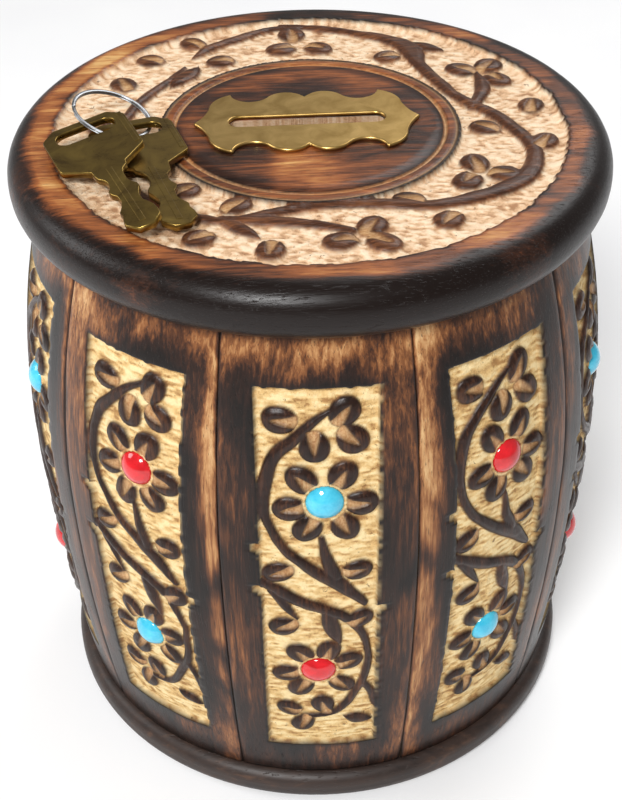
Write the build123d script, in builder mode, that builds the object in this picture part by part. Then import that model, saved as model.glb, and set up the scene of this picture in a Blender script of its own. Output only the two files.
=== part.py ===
"""Round wooden money box: a barrel of ten carved staves between a turned lid and base.

Millimetres, +Z up. The origin is on the ground, at the centre of the base. The coin slot
runs along X and the front of the box faces -Y. A locked hatch closes the base, and its two
keys lie on the lid on a steel ring.
"""
from build123d import *
from math import asin, cos, radians, sin, sqrt
import os

# Overall sizes
TOP_Z = 149.0
LID_R = 65.0
LID_T = 12.5
LID_Z = TOP_Z - LID_T
BASE_R = 65.0
BASE_T = 8.0

# Barrel
STAVE_COUNT = 10
STAVE_ANGLE = 360.0 / STAVE_COUNT
FRONT_AZIMUTH = -92.5
BELLY_R = 67.8
BELLY_Z = 80.5
UPPER_MOUTH_R = 59.2
LOWER_MOUTH_R = 62.2
INNER_APOTHEM = 49.0

# Carved panel on each stave
PANEL_W = 24.8
PANEL_LOW_Z = 20.2
PANEL_HIGH_Z = 125.2
PANEL_DEPTH = 1.4

# Glass beads
BEAD_R = 3.9
BEAD_GIRDLE = 1.2
BEAD_DOME = 1.9
BEAD_BURIED = 2.2
SEAT_R = BEAD_R + 0.05
UPPER_BEAD_Z = 99.2
UPPER_BEAD_SHIFT = 1.27
LOWER_BEAD_Z = 48.6
LOWER_BEAD_SHIFT = -0.5

# Lid
LID_EDGE_R = 5.8
SPIGOT_R = 48.4
SPIGOT_T = 3.0
CARVED_OUTER_R = 54.8
CARVED_INNER_R = 32.5
CARVED_DEPTH = 1.4
GROOVE_R = 29.15
GROOVE_HALF_W = 0.6
GROOVE_DEPTH = 0.6

# Coin slot and its brass plate
SLOT_CENTRE = (-0.5, 0.8)
SLOT_L = 33.6
SLOT_W = 4.6
PLATE_T = 1.0

# Base ring, floor board and hatch
BASE_EDGE_R = 3.2
HATCH_HOLE_R = 35.0
FLOOR_T = 6.0
FLOOR_HOLE_R = 31.0
FLOOR_GAP = 0.1
FLOOR_Z = BASE_T
DOOR_R = 34.5
DOOR_LOW_Z = 2.5
DOOR_HIGH_Z = 7.8

# Hinge of the hatch, at the back
HINGE_Y = 34.75
HINGE_Z = 1.5
LEAF_HALF_W = 11.0
LEAF_T = 1.0
LEAF_REACH = 11.0
KNUCKLE_R = 1.4
KNUCKLE_GROOVE_R = 1.65
KNUCKLE_SPLIT = 4.0
KNUCKLE_GAP = 0.15
PIN_R = 0.6
PIN_BORE_R = 0.65
LEAF_SCREW_X = 7.5
LEAF_SCREW_OFFSET = 6.0
LEAF_SCREW_R = 1.1
LEAF_SCREW_HEAD_R = 2.1
LEAF_SCREW_TIP_Z = 7.0
POCKET_GAP = 0.3
POCKET_FRONT = 2.6

# Screws that hold the base to the staves
BASE_SCREW_COUNT = 5
BASE_SCREW_PITCH_R = 55.6
BASE_SCREW_R = 1.8
BASE_SCREW_HEAD_R = 3.6
BASE_SCREW_HEAD_T = 2.0
BASE_SCREW_Z = 0.4
BASE_SCREW_TIP_Z = 24.0
DRIVE_SLOT_W = 0.7
DRIVE_SLOT_DEPTH = 0.5

# Cam lock
LOCK_Y = -14.5
FLANGE_R = 9.5
FLANGE_T = 1.3
FLANGE_CHAMFER = 0.4
BARREL_R = 7.0
BARREL_TOP_Z = 13.6
PLUG_R = 4.9
PLUG_BORE_R = 4.95
PLUG_LOW_Z = 1.4
WASHER_R = 10.5
WASHER_T = 0.8
NUT_FLATS = 19.0
NUT_T = 3.0
CAM_Z = 14.3
CAM_T = 1.6
CAM_W = 9.0
CAM_REACH = 21.0
CAM_DRIVE = 6.0
CAM_TIP_R = 2.5
KEYWAY_W = 1.8
KEYWAY_H = 7.8
KEYWAY_TOP_Z = 12.0
WAFER_COUNT = 4
WAFER_FIRST_Z = 4.0
WAFER_PITCH = 1.9
WAFER_T = 0.9
WAFER_W = 4.4
WAFER_H = 8.4
WAFER_RIM = 1.3
CAM_SCREW_R = 1.6
CAM_SCREW_FLOOR_Z = 12.5
CAM_SCREW_HEAD_R = 3.4
CAM_SCREW_HEAD_T = 1.4

# Keys
KEY_T = 1.5
KEY_L = 42.5
BOW_TOP_HALF_W = 6.2
BOW_HALF_W = 9.1
BOW_CORNER = 2.3
BOW_SIDE_END = 15.4
BLADE_START = 19.3
BLADE_HALF_W = 3.7
TIP_CHAMFER = 2.2
KEY_SLOT_U = 4.4
KEY_SLOT_L = 13.0
KEY_SLOT_W = 4.8
BITE_FIRST = 23.5
BITE_PITCH = 4.6
BITE_COUNT = 4
BITE_DEPTHS = (1.3, 0.8, 1.5, 0.9)
BLADE_GROOVE_W = 1.5
BLADE_GROOVE_DEPTH = 0.3

# Places of the keys and ring: (x, y, height over the lid), turn, pitch and roll in degrees
KEY_1_PLACE = (-48.6, -3.35, 4.55)
KEY_1_TURN = -69.1
KEY_1_PITCH = 2.3
KEY_1_ROLL = 10.0
KEY_2_PLACE = (-39.0, -0.5, 2.8)
KEY_2_TURN = -73.1
KEY_2_PITCH = 1.6
KEY_2_ROLL = 0.0
RING_PLACE = (-41.95, 1.05, 3.6)
RING_NORMAL = (0.368, -0.082, 1.0)
RING_R = 8.32
RING_WIRE_R = 0.5

# Primitives that stand on their location
UPWARDS = (Align.CENTER, Align.CENTER, Align.MIN)

os.makedirs("parts", exist_ok=True)


def finish_node(builder, name):
    """Label a finished piece and write it as its own STEP file."""
    builder.part.label = name
    export_step(builder.part, f"parts/{name}.step")


def barrel_arc(z):
    """Radius of curvature, and height from the belly, of the barrel's outline at a height."""
    rise = z - BELLY_Z
    mouth_rise = (LID_Z if rise > 0 else BASE_T) - BELLY_Z
    mouth_drop = BELLY_R - (UPPER_MOUTH_R if rise > 0 else LOWER_MOUTH_R)
    return (mouth_rise**2 + mouth_drop**2) / (2 * mouth_drop), rise


def barrel_radius(z):
    """Outer radius of the barrel at a height."""
    curvature, rise = barrel_arc(z)
    return BELLY_R - curvature + sqrt(curvature**2 - rise**2)


def radial_plane(azimuth):
    """The upright plane through the box's axis whose X points outwards at an azimuth."""
    a = radians(azimuth)
    return Plane(origin=(0, 0, 0), x_dir=(cos(a), sin(a), 0), z_dir=(sin(a), -cos(a), 0))


def inner_face_plane(azimuth):
    """The flat inner face of the stave at an azimuth, looking outwards."""
    a = radians(azimuth)
    outward = Vector(cos(a), sin(a), 0)
    tangent = Vector(-sin(a), cos(a), 0)
    return Plane(origin=outward * INNER_APOTHEM, x_dir=tangent, z_dir=outward)


def bead_plane(azimuth, z, shift):
    """The plane that touches the barrel at a bead, with its Z along the outward normal."""
    curvature, rise = barrel_arc(z)
    radius = barrel_radius(z)
    a = radians(azimuth) + shift / radius
    tilt = asin(rise / curvature)
    normal = Vector(cos(a) * cos(tilt), sin(a) * cos(tilt), sin(tilt))
    tangent = Vector(-sin(a), cos(a), 0)
    return Plane(origin=(radius * cos(a), radius * sin(a), z), x_dir=tangent, z_dir=normal)


def barrel_outline(low_z, high_z, offset):
    """Draw the barrel's outer line, shifted by an offset, inside a BuildLine."""
    start = (barrel_radius(low_z) + offset, low_z)
    belly = (BELLY_R + offset, BELLY_Z)
    end = (barrel_radius(high_z) + offset, high_z)
    low_mid = (low_z + BELLY_Z) / 2
    high_mid = (high_z + BELLY_Z) / 2
    ThreePointArc(start, (barrel_radius(low_mid) + offset, low_mid), belly)
    ThreePointArc(belly, (barrel_radius(high_mid) + offset, high_mid), end)


stave_azimuths = [FRONT_AZIMUTH + STAVE_ANGLE * k for k in range(STAVE_COUNT)]
screw_azimuths = stave_azimuths[:: STAVE_COUNT // BASE_SCREW_COUNT]
base_screw_spots = [
    (BASE_SCREW_PITCH_R * cos(radians(a)), BASE_SCREW_PITCH_R * sin(radians(a)))
    for a in screw_azimuths
]

# Staves: a turned outer face with a sunk panel, a flat inner face and two bead seats
for number, azimuth in enumerate(stave_azimuths, start=1):
    panel_start = (barrel_radius(PANEL_LOW_Z) - PANEL_DEPTH, PANEL_LOW_Z)
    panel_end = (barrel_radius(PANEL_HIGH_Z) - PANEL_DEPTH, PANEL_HIGH_Z)
    beyond = BELLY_R + PANEL_DEPTH
    with BuildPart() as panel_cut:
        with BuildSketch(radial_plane(azimuth - STAVE_ANGLE / 2)):
            with BuildLine():
                barrel_outline(PANEL_LOW_Z, PANEL_HIGH_Z, -PANEL_DEPTH)
                Polyline(
                    panel_end,
                    (beyond, PANEL_HIGH_Z),
                    (beyond, PANEL_LOW_Z),
                    panel_start,
                )
            make_face()
        revolve(axis=Axis.Z, revolution_arc=STAVE_ANGLE)
        with BuildSketch(inner_face_plane(azimuth)):
            Rectangle(PANEL_W, 2 * TOP_Z)
        extrude(amount=BELLY_R, mode=Mode.INTERSECT)

    with BuildPart() as stave:
        with BuildSketch(radial_plane(azimuth - STAVE_ANGLE / 2)):
            with BuildLine():
                barrel_outline(BASE_T, LID_Z, 0)
                Polyline(
                    (UPPER_MOUTH_R, LID_Z),
                    (INNER_APOTHEM - 1, LID_Z),
                    (INNER_APOTHEM - 1, BASE_T),
                    (LOWER_MOUTH_R, BASE_T),
                )
            make_face()
        revolve(axis=Axis.Z, revolution_arc=STAVE_ANGLE)
        split(bisect_by=inner_face_plane(azimuth), keep=Keep.TOP)
        add(panel_cut.part, mode=Mode.SUBTRACT)
        for bead_z, bead_shift in (
            (UPPER_BEAD_Z, UPPER_BEAD_SHIFT),
            (LOWER_BEAD_Z, LOWER_BEAD_SHIFT),
        ):
            with BuildSketch(bead_plane(azimuth, bead_z, bead_shift)):
                Circle(SEAT_R)
            extrude(amount=-BEAD_BURIED, mode=Mode.SUBTRACT)
        if azimuth in screw_azimuths:
            with BuildSketch(Plane.XY.offset(BASE_T)):
                with PolarLocations(BASE_SCREW_PITCH_R, 1, start_angle=azimuth):
                    Circle(BASE_SCREW_R)
            extrude(amount=BASE_SCREW_TIP_Z - BASE_T, mode=Mode.SUBTRACT)
    finish_node(stave, f"stave_{number:02d}")


def draw_bead(plane):
    """Add one domed bead, seated at a bead plane, to the open part."""
    axis_plane = Plane(
        origin=plane.origin, x_dir=plane.x_dir, z_dir=plane.x_dir.cross(plane.z_dir)
    )
    shoulder = BEAD_GIRDLE - BEAD_BURIED
    dome_r = (BEAD_R**2 + BEAD_DOME**2) / (2 * BEAD_DOME)
    half_turn = asin(BEAD_R / dome_r) / 2
    apex = shoulder + BEAD_DOME
    with BuildSketch(axis_plane) as outline:
        with BuildLine():
            Polyline((0, apex), (0, -BEAD_BURIED), (BEAD_R, -BEAD_BURIED), (BEAD_R, shoulder))
            ThreePointArc(
                (BEAD_R, shoulder),
                (dome_r * sin(half_turn), apex - dome_r * (1 - cos(half_turn))),
                (0, apex),
            )
        make_face()
    revolve(outline.sketch, axis=Axis(plane.origin, plane.z_dir))


# Beads: the two colours swap places from one stave to the next
for colour, upper_on_even in (("turquoise", True), ("red", False)):
    with BuildPart() as beads:
        for k, azimuth in enumerate(stave_azimuths):
            if (k % 2 == 0) == upper_on_even:
                draw_bead(bead_plane(azimuth, UPPER_BEAD_Z, UPPER_BEAD_SHIFT))
            else:
                draw_bead(bead_plane(azimuth, LOWER_BEAD_Z, LOWER_BEAD_SHIFT))
    finish_node(beads, f"{colour}_cabochons")

# Lid: a turned disc with a round edge, a sunk ring for carving and a spigot underneath
with BuildPart() as lid:
    with BuildSketch(Plane.XZ):
        with BuildLine():
            low_edge = (LID_R - LID_EDGE_R, LID_Z)
            high_edge = (LID_R - LID_EDGE_R, TOP_Z)
            round_45 = LID_EDGE_R * (1 - cos(radians(45)))
            ThreePointArc(
                low_edge, (LID_R - round_45, LID_Z + round_45), (LID_R, LID_Z + LID_EDGE_R)
            )
            Line((LID_R, LID_Z + LID_EDGE_R), (LID_R, TOP_Z - LID_EDGE_R))
            ThreePointArc(
                (LID_R, TOP_Z - LID_EDGE_R), (LID_R - round_45, TOP_Z - round_45), high_edge
            )
            Polyline(
                high_edge,
                (CARVED_OUTER_R, TOP_Z),
                (CARVED_OUTER_R, TOP_Z - CARVED_DEPTH),
                (CARVED_INNER_R, TOP_Z - CARVED_DEPTH),
                (CARVED_INNER_R, TOP_Z),
                (GROOVE_R + GROOVE_HALF_W, TOP_Z),
                (GROOVE_R, TOP_Z - GROOVE_DEPTH),
                (GROOVE_R - GROOVE_HALF_W, TOP_Z),
                (0, TOP_Z),
                (0, LID_Z - SPIGOT_T),
                (SPIGOT_R, LID_Z - SPIGOT_T),
                (SPIGOT_R, LID_Z),
                low_edge,
            )
        make_face()
    revolve(axis=Axis.Z)
    with BuildSketch(Plane.XY.offset(LID_Z - SPIGOT_T)):
        with Locations(SLOT_CENTRE):
            SlotOverall(SLOT_L, SLOT_W)
    extrude(amount=LID_T + SPIGOT_T, mode=Mode.SUBTRACT)
finish_node(lid, "lid")

# Brass slot plate: a quarter of its cusped outline, mirrored both ways
with BuildPart() as slot_plate:
    with BuildSketch(Plane(origin=(*SLOT_CENTRE, TOP_Z))):
        with BuildLine():
            ThreePointArc((0, 10.7), (4.0, 13.1), (8.2, 11.1))
            ThreePointArc((8.2, 11.1), (12.2, 9.1), (16.2, 12.8))
            ThreePointArc((16.2, 12.8), (19.6, 10.6), (21.2, 6.4))
            ThreePointArc((21.2, 6.4), (22.4, 3.0), (24.4, 0))
            mirror(about=Plane.XZ)
            mirror(about=Plane.YZ)
        make_face()
        SlotOverall(SLOT_L, SLOT_W, mode=Mode.SUBTRACT)
    extrude(amount=PLATE_T)
finish_node(slot_plate, "slot_plate")


def leaf_screw_spots(side):
    """The two screws of a hinge leaf, on the +Y side (1) or the -Y side (-1) of the pin."""
    y = HINGE_Y + side * LEAF_SCREW_OFFSET
    return [(-LEAF_SCREW_X, y), (LEAF_SCREW_X, y)]


def cut_hinge_seat(side):
    """Cut the knuckle's groove and the screws' pilot holes out of the open part."""
    with BuildSketch(Plane.YZ) as groove:
        with Locations((HINGE_Y, HINGE_Z)):
            Circle(KNUCKLE_GROOVE_R)
    extrude(groove.sketch, amount=LEAF_HALF_W + POCKET_GAP, both=True, mode=Mode.SUBTRACT)
    with BuildSketch(Plane.XY.offset(HINGE_Z + LEAF_T)) as pilots:
        with Locations(*leaf_screw_spots(side)):
            Circle(LEAF_SCREW_R)
    extrude(pilots.sketch, amount=LEAF_SCREW_TIP_Z - HINGE_Z - LEAF_T, mode=Mode.SUBTRACT)


# Base ring: a turned foot with the hatch's opening, a pocket for the hinge and screw holes
with BuildPart() as base_ring:
    with BuildSketch(Plane.XY):
        Circle(BASE_R)
        Circle(HATCH_HOLE_R, mode=Mode.SUBTRACT)
    extrude(amount=BASE_T)
    fillet(base_ring.edges().filter_by(GeomType.CIRCLE).group_by(SortBy.RADIUS)[-1], BASE_EDGE_R)
    with BuildSketch(Plane.XY):
        with Locations((0, HINGE_Y + (LEAF_REACH + POCKET_GAP - POCKET_FRONT) / 2)):
            Rectangle(2 * (LEAF_HALF_W + POCKET_GAP), LEAF_REACH + POCKET_GAP + POCKET_FRONT)
    extrude(amount=HINGE_Z + LEAF_T, mode=Mode.SUBTRACT)
    cut_hinge_seat(1)
    for x, y in base_screw_spots:
        with Locations((x, y, 0)):
            Cylinder(BASE_SCREW_HEAD_R, BASE_SCREW_Z, align=UPWARDS, mode=Mode.SUBTRACT)
            Cylinder(BASE_SCREW_R, BASE_T, align=UPWARDS, mode=Mode.SUBTRACT)
        with Locations((x, y, BASE_SCREW_Z)):
            Cone(
                BASE_SCREW_HEAD_R,
                BASE_SCREW_R,
                BASE_SCREW_HEAD_T,
                align=UPWARDS,
                mode=Mode.SUBTRACT,
            )
finish_node(base_ring, "base_ring")

# Floor board: fits inside the ten flat faces and leaves a ledge over the hatch
with BuildPart() as floor_board:
    with BuildSketch(Plane.XY.offset(FLOOR_Z)):
        RegularPolygon(
            INNER_APOTHEM - FLOOR_GAP,
            STAVE_COUNT,
            major_radius=False,
            rotation=FRONT_AZIMUTH + STAVE_ANGLE / 2,
        )
        Circle(FLOOR_HOLE_R, mode=Mode.SUBTRACT)
    extrude(amount=FLOOR_T)
finish_node(floor_board, "floor_board")

# Hatch door
with BuildPart() as access_door:
    with BuildSketch(Plane.XY.offset(DOOR_LOW_Z)):
        Circle(DOOR_R)
        with Locations((0, LOCK_Y)):
            Circle(BARREL_R, mode=Mode.SUBTRACT)
    extrude(amount=DOOR_HIGH_Z - DOOR_LOW_Z)
    cut_hinge_seat(-1)
finish_node(access_door, "access_door")


def draw_leaf(side, knuckle_spans):
    """Build one hinge leaf: a plate, its knuckles and its countersunk holes."""
    with BuildSketch(Plane.XY.offset(HINGE_Z)) as plate:
        with Locations((0, HINGE_Y + side * LEAF_REACH / 2)):
            Rectangle(2 * LEAF_HALF_W, LEAF_REACH)
        with Locations((0, HINGE_Y)):
            Rectangle(2 * LEAF_HALF_W, 2 * KNUCKLE_GROOVE_R, mode=Mode.SUBTRACT)
        for low_x, high_x in knuckle_spans:
            with Locations(((low_x + high_x) / 2, HINGE_Y + side * KNUCKLE_GROOVE_R / 2)):
                Rectangle(high_x - low_x, KNUCKLE_GROOVE_R)
    extrude(plate.sketch, amount=LEAF_T)
    for low_x, high_x in knuckle_spans:
        with BuildSketch(Plane.YZ.offset(low_x)) as knuckle:
            with Locations((HINGE_Y, HINGE_Z)):
                Circle(KNUCKLE_R)
        extrude(knuckle.sketch, amount=high_x - low_x)
    with BuildSketch(Plane.YZ) as bore:
        with Locations((HINGE_Y, HINGE_Z)):
            Circle(PIN_BORE_R)
    extrude(bore.sketch, amount=LEAF_HALF_W + 1, both=True, mode=Mode.SUBTRACT)
    with Locations(*[(x, y, HINGE_Z) for x, y in leaf_screw_spots(side)]):
        Cone(LEAF_SCREW_HEAD_R, LEAF_SCREW_R, LEAF_T, align=UPWARDS, mode=Mode.SUBTRACT)


# Hinge: the base's leaf has the two outer knuckles, the door's leaf the middle one
outer_span = KNUCKLE_SPLIT + KNUCKLE_GAP
with BuildPart() as hinge_leaf_fixed:
    draw_leaf(1, [(-LEAF_HALF_W, -outer_span), (outer_span, LEAF_HALF_W)])
finish_node(hinge_leaf_fixed, "hinge_leaf_fixed")

with BuildPart() as hinge_leaf_door:
    draw_leaf(-1, [(-KNUCKLE_SPLIT, KNUCKLE_SPLIT)])
finish_node(hinge_leaf_door, "hinge_leaf_door")

with BuildPart() as hinge_pin:
    with BuildSketch(Plane.YZ):
        with Locations((HINGE_Y, HINGE_Z)):
            Circle(PIN_R)
    extrude(amount=LEAF_HALF_W, both=True)
finish_node(hinge_pin, "hinge_pin")


def draw_screws(spots, low_z, head_r, head_t, shank_r, tip_z):
    """Add countersunk screws that point up, each with a straight drive slot."""
    with Locations(*[(x, y, low_z) for x, y in spots]):
        Cone(head_r, shank_r, head_t, align=UPWARDS)
        Cylinder(shank_r, tip_z - low_z, align=UPWARDS)
        Box(2 * head_r, DRIVE_SLOT_W, DRIVE_SLOT_DEPTH, align=UPWARDS, mode=Mode.SUBTRACT)


for name, side in (("hinge_screws_fixed", 1), ("hinge_screws_door", -1)):
    with BuildPart() as leaf_screws:
        draw_screws(
            leaf_screw_spots(side),
            HINGE_Z,
            LEAF_SCREW_HEAD_R,
            LEAF_T,
            LEAF_SCREW_R,
            LEAF_SCREW_TIP_Z,
        )
    finish_node(leaf_screws, name)

with BuildPart() as base_screws:
    draw_screws(
        base_screw_spots,
        BASE_SCREW_Z,
        BASE_SCREW_HEAD_R,
        BASE_SCREW_HEAD_T,
        BASE_SCREW_R,
        BASE_SCREW_TIP_Z,
    )
finish_node(base_screws, "base_screws")

# Cam lock: a flanged housing through the door, held by a washer and a nut
with BuildPart() as lock_housing:
    with BuildSketch(Plane.XY.offset(DOOR_LOW_Z - FLANGE_T)):
        with Locations((0, LOCK_Y)):
            Circle(FLANGE_R)
    extrude(amount=FLANGE_T)
    with BuildSketch(Plane.XY.offset(DOOR_LOW_Z)):
        with Locations((0, LOCK_Y)):
            Circle(BARREL_R)
    extrude(amount=BARREL_TOP_Z - DOOR_LOW_Z)
    chamfer(lock_housing.edges().group_by(Axis.Z)[0], FLANGE_CHAMFER)
    with BuildSketch(Plane.XY.offset(DOOR_LOW_Z - FLANGE_T)):
        with Locations((0, LOCK_Y)):
            Circle(PLUG_BORE_R)
    extrude(amount=BARREL_TOP_Z, mode=Mode.SUBTRACT)
finish_node(lock_housing, "lock_housing")

with BuildPart() as lock_washer:
    with BuildSketch(Plane.XY.offset(DOOR_HIGH_Z)):
        with Locations((0, LOCK_Y)):
            Circle(WASHER_R)
            Circle(BARREL_R, mode=Mode.SUBTRACT)
    extrude(amount=WASHER_T)
finish_node(lock_washer, "lock_washer")

with BuildPart() as lock_nut:
    with BuildSketch(Plane.XY.offset(DOOR_HIGH_Z + WASHER_T)):
        with Locations((0, LOCK_Y)):
            RegularPolygon(NUT_FLATS / 2, 6, major_radius=False)
            Circle(BARREL_R, mode=Mode.SUBTRACT)
    extrude(amount=NUT_T)
finish_node(lock_nut, "lock_nut")

wafer_heights = [WAFER_FIRST_Z + WAFER_PITCH * k for k in range(WAFER_COUNT)]

# Plug: turns in the housing, slotted for the key and its wafers, with a square drive on top
with BuildPart() as lock_plug:
    with BuildSketch(Plane.XY.offset(PLUG_LOW_Z)):
        with Locations((0, LOCK_Y)):
            Circle(PLUG_R)
    extrude(amount=CAM_Z - PLUG_LOW_Z)
    with BuildSketch(Plane.XY.offset(CAM_Z)):
        with Locations((0, LOCK_Y)):
            Rectangle(CAM_DRIVE, CAM_DRIVE)
    extrude(amount=CAM_T)
    with BuildSketch(Plane.XY.offset(PLUG_LOW_Z)):
        with Locations((0, LOCK_Y)):
            Rectangle(KEYWAY_H, KEYWAY_W)
    extrude(amount=KEYWAY_TOP_Z - PLUG_LOW_Z, mode=Mode.SUBTRACT)
    for z in wafer_heights:
        with BuildSketch(Plane.XY.offset(z)):
            with Locations((0, LOCK_Y)):
                Rectangle(WAFER_H, WAFER_W)
        extrude(amount=WAFER_T, mode=Mode.SUBTRACT)
    with BuildSketch(Plane.XY.offset(CAM_SCREW_FLOOR_Z)):
        with Locations((0, LOCK_Y)):
            Circle(CAM_SCREW_R)
    extrude(amount=CAM_Z + CAM_T - CAM_SCREW_FLOOR_Z, mode=Mode.SUBTRACT)
finish_node(lock_plug, "lock_plug")

with BuildPart() as lock_wafers:
    for z in wafer_heights:
        with BuildSketch(Plane.XY.offset(z)):
            with Locations((0, LOCK_Y)):
                Rectangle(WAFER_H, WAFER_W)
                Rectangle(WAFER_H - 2 * WAFER_RIM, KEYWAY_W, mode=Mode.SUBTRACT)
        extrude(amount=WAFER_T)
finish_node(lock_wafers, "lock_wafers")

# Cam: its tongue points to -X when unlocked, and over the floor board when locked
with BuildPart() as lock_cam:
    with BuildSketch(Plane.XY.offset(CAM_Z)):
        with Locations((-CAM_REACH / 2, LOCK_Y)):
            Rectangle(CAM_REACH, CAM_W)
        with Locations((0, LOCK_Y)):
            Circle(CAM_W / 2 + 1)
            Rectangle(CAM_DRIVE, CAM_DRIVE, mode=Mode.SUBTRACT)
    extrude(amount=CAM_T)
    fillet(lock_cam.edges().filter_by(Axis.Z).group_by(Axis.X)[0], CAM_TIP_R)
finish_node(lock_cam, "lock_cam")

with BuildPart() as cam_screw:
    with Locations((0, LOCK_Y, CAM_Z + CAM_T)):
        Cylinder(CAM_SCREW_HEAD_R, CAM_SCREW_HEAD_T, align=UPWARDS)
        Cylinder(
            CAM_SCREW_R,
            CAM_Z + CAM_T - CAM_SCREW_FLOOR_Z,
            align=(Align.CENTER, Align.CENTER, Align.MAX),
        )
    with Locations((0, LOCK_Y, CAM_Z + CAM_T + CAM_SCREW_HEAD_T)):
        Box(2 * CAM_SCREW_HEAD_R, DRIVE_SLOT_W, 2 * DRIVE_SLOT_DEPTH, mode=Mode.SUBTRACT)
finish_node(cam_screw, "cam_screw")


def key_plane(place, turn, pitch, roll):
    """A key's upper face: X runs from the bow to the tip and Y to its left."""
    x, y, height = place
    t, p, r = radians(turn), radians(pitch), radians(roll)
    along = Vector(cos(t) * cos(p), sin(t) * cos(p), -sin(p))
    across = Vector(-sin(t), cos(t), 0)
    up = along.cross(across)
    return Plane(
        origin=(x, y, TOP_Z + height),
        x_dir=along,
        z_dir=up * cos(r) - across * sin(r),
    )


def draw_key(plane):
    """Build one flat key: a six-sided bow with a slot, and a blade bitten on both edges."""
    with BuildSketch(plane) as outline:
        with BuildLine():
            Polyline(
                (0, 0),
                (0, BOW_TOP_HALF_W),
                (BOW_CORNER, BOW_HALF_W),
                (BOW_SIDE_END, BOW_HALF_W),
                (BLADE_START, BLADE_HALF_W),
                (KEY_L - TIP_CHAMFER, BLADE_HALF_W),
                (KEY_L, BLADE_HALF_W - TIP_CHAMFER),
                (KEY_L, 0),
            )
            mirror(about=Plane.XZ)
        make_face()
        with Locations((KEY_SLOT_U, 0)):
            SlotOverall(KEY_SLOT_L, KEY_SLOT_W, rotation=90, mode=Mode.SUBTRACT)
        for k in range(BITE_COUNT):
            u = BITE_FIRST + BITE_PITCH * k
            for side in (1, -1):
                depth = BITE_DEPTHS[k if side == 1 else BITE_COUNT - 1 - k]
                with Locations((u, side * BLADE_HALF_W)):
                    Rectangle(depth * sqrt(2), depth * sqrt(2), rotation=45, mode=Mode.SUBTRACT)
    extrude(outline.sketch, amount=-KEY_T)
    groove_l = KEY_L - BLADE_START - 1
    with BuildSketch(plane) as groove:
        with Locations((KEY_L - groove_l / 2, 0)):
            Rectangle(groove_l, BLADE_GROOVE_W)
    extrude(groove.sketch, amount=-BLADE_GROOVE_DEPTH, mode=Mode.SUBTRACT)


key_1_plane = key_plane(KEY_1_PLACE, KEY_1_TURN, KEY_1_PITCH, KEY_1_ROLL)
key_2_plane = key_plane(KEY_2_PLACE, KEY_2_TURN, KEY_2_PITCH, KEY_2_ROLL)

with BuildPart() as key_1:
    draw_key(key_1_plane)
finish_node(key_1, "key_1")

with BuildPart() as key_2:
    draw_key(key_2_plane)
finish_node(key_2, "key_2")

# Key ring: passes through both keys' slots and leans on the first key
ring_x, ring_y, ring_height = RING_PLACE
with BuildPart() as key_ring:
    with Locations(Plane(origin=(ring_x, ring_y, TOP_Z + ring_height), z_dir=RING_NORMAL)):
        Torus(RING_R, RING_WIRE_R)
finish_node(key_ring, "key_ring")
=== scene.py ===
"""Looks of the carved wooden money box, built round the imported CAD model.

Lengths are in millimetres until a mesh is made.
"""
import math
import random

import bmesh
import bpy
import numpy as np
from mathutils import Matrix, Vector


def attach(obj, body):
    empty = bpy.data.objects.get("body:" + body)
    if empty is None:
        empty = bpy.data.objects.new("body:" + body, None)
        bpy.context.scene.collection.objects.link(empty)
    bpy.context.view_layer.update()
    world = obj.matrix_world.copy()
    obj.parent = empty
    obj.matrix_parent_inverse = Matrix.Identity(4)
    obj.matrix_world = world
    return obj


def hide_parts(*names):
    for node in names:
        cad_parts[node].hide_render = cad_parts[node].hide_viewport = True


MM = 0.001
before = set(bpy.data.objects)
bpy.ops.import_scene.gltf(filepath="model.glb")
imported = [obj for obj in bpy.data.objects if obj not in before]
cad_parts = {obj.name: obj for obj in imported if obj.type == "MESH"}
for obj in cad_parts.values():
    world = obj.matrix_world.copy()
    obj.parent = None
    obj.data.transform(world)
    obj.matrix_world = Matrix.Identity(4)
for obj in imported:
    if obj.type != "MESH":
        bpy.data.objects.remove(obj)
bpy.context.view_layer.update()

# ---------------------------------------------------------------- camera

CAMERA_AT = Vector((-0.01501, -0.27890, 0.29460))
CAMERA_AIM = Vector((0.00107, -0.00006, 0.06944))
CAMERA_ROLL = 0.7
camera_data = bpy.data.cameras.new("camera")
camera = bpy.data.objects.new("camera", camera_data)
bpy.context.scene.collection.objects.link(camera)
camera_data.lens = 64.66
camera_data.sensor_width = 36.0
camera_data.shift_x = -0.0091
camera_data.shift_y = 0.01575
camera_data.clip_start = 0.01
camera_data.clip_end = 20.0
turned = (CAMERA_AIM - CAMERA_AT).to_track_quat("-Z", "Y").to_matrix().to_4x4()
camera.matrix_world = Matrix.Translation(CAMERA_AT) @ turned @ Matrix.Rotation(math.radians(-CAMERA_ROLL), 4, "Z")
bpy.context.scene.camera = camera

# ---------------------------------------------------------------- sizes, as in the CAD

TOP_Z, LID_Z, BASE_T = 149.0, 136.5, 8.0
BELLY_R, BELLY_Z = 67.8, 80.5
UPPER_MOUTH_R, LOWER_MOUTH_R = 59.2, 62.2
INNER_APOTHEM = 49.0
STAVE_COUNT, FRONT_AZIMUTH = 10, -92.5
PANEL_HALF_W, PANEL_LOW, PANEL_HIGH, PANEL_DEPTH = 12.4, 20.2, 125.2, 1.4
UPPER_BEAD, LOWER_BEAD, BEAD_R = (1.27, 99.2), (-0.5, 48.6), 3.9
BEAD_CROWN, BEAD_DOME_RISE, BEAD_HOLE_DEPTH = 0.88, 1.9, 2.3
LID_R, LID_EDGE_R, SPIGOT_R, SPIGOT_T = 65.0, 5.8, 48.4, 3.0
CARVED_OUTER_R, CARVED_INNER_R, CARVED_DEPTH = 54.8, 32.5, 1.4
GROOVE_R, GROOVE_HALF_W, GROOVE_DEPTH = 29.15, 0.6, 0.6
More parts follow.
